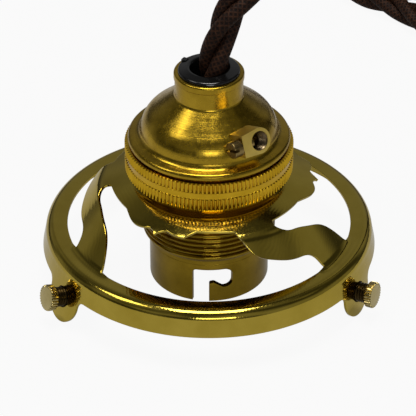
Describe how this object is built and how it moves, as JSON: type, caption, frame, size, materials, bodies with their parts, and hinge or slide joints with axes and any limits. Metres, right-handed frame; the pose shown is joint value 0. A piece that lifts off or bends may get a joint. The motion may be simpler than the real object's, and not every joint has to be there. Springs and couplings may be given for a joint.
{
  "type": "bayonet lamp socket with shade gallery",
  "caption": "Brass bayonet lampholder with knurled collar, pressed S-arm shade gallery held by thumb screws, earth terminal and braided twisted flex.",
  "frame": {"origin": "centre of the barrel's open mouth, on the barrel's axis", "axes": "+Z along the barrel towards the cord, +X to the right of the picture, -Y towards the camera"},
  "size_m": [0.1454, 0.1986, 0.0815],
  "materials": {
    "polished_brass": "polished",
    "spun_brass": "polished, faint spin marks",
    "collar_brass": "polished, knurled",
    "barrel_brass": "satin",
    "screw_brass": "polished",
    "terminal_brass": "matte",
    "contact_brass": "bright",
    "dark_screw": "tarnished",
    "spring_steel": "bright",
    "bush_black": "glossy",
    "insulator": "glossy, moulded",
    "core_brown": "matte",
    "core_blue": "matte",
    "core_green": "matte",
    "flex_braid": "woven braid",
    "bare_copper": "bare copper strands"
  },
  "bodies": {
    "holder": {"gallery": "polished_brass", "cap": "spun_brass", "barrel": "barrel_brass", "cord_bush": "bush_black", "contact_block": "insulator", "spring_live": "spring_steel", "spring_neutral": "spring_steel", "terminal_live": "contact_brass", "terminal_neutral": "contact_brass", "terminal_screw_live": "contact_brass", "terminal_screw_neutral": "contact_brass", "earth_terminal": "terminal_brass", "core_live": "core_brown", "core_neutral": "core_blue", "core_earth": "core_green", "flex": "flex_braid", "flex_hank": "flex_braid", "core_ends": "bare_copper"},
    "contact_live": {"plunger_live": "contact_brass"},
    "contact_neutral": {"plunger_neutral": "contact_brass"},
    "screw_back": {"thumb_screw_back": "screw_brass"},
    "screw_left": {"thumb_screw_left": "screw_brass"},
    "screw_right": {"thumb_screw_right": "screw_brass"},
    "collar": {"knurled_collar": "collar_brass"},
    "ring": {"shade_ring": "barrel_brass"},
    "earth_clamp": {"earth_screw": "dark_screw"}
  },
  "joints": [
    {"name": "plunger_live_slide", "type": "slide", "parent": "holder", "child": "contact_live", "axis": [0, 0, 1], "range_m": [0, 0.0026], "stiffness_N_per_m": 900, "springref_m": -0.0012, "deforming": ["spring_live"]},
    {"name": "plunger_neutral_slide", "type": "slide", "parent": "holder", "child": "contact_neutral", "axis": [0, 0, 1], "range_m": [0, 0.0026], "stiffness_N_per_m": 900, "springref_m": -0.0012, "deforming": ["spring_neutral"]},
    {"name": "thumb_screw_back_travel", "type": "slide", "parent": "holder", "child": "screw_back", "axis": [-0.0258, 0.9845, 0.1736], "range_m": [-0.0018, 0.004]},
    {"name": "thumb_screw_left_travel", "type": "slide", "parent": "holder", "child": "screw_left", "axis": [-0.8236, -0.5047, 0.2588], "range_m": [-0.0018, 0.004]},
    {"name": "thumb_screw_right_travel", "type": "slide", "parent": "holder", "child": "screw_right", "axis": [0.8755, -0.4753, 0.0872], "range_m": [-0.0018, 0.004]},
    {"name": "collar_turn", "type": "hinge", "parent": "holder", "child": "collar", "pos_m": [0, 0, 0.0295], "axis": [0, 0, 1], "continuous": true},
    {"name": "shade_ring_turn", "type": "hinge", "parent": "holder", "child": "ring", "pos_m": [0, 0, 0.023], "axis": [0, 0, 1], "continuous": true},
    {"name": "earth_screw_travel", "type": "slide", "parent": "holder", "child": "earth_clamp", "axis": [-0.788, -0.6157, 0], "range_m": [-0.0003, 0.0015]}
  ]
}
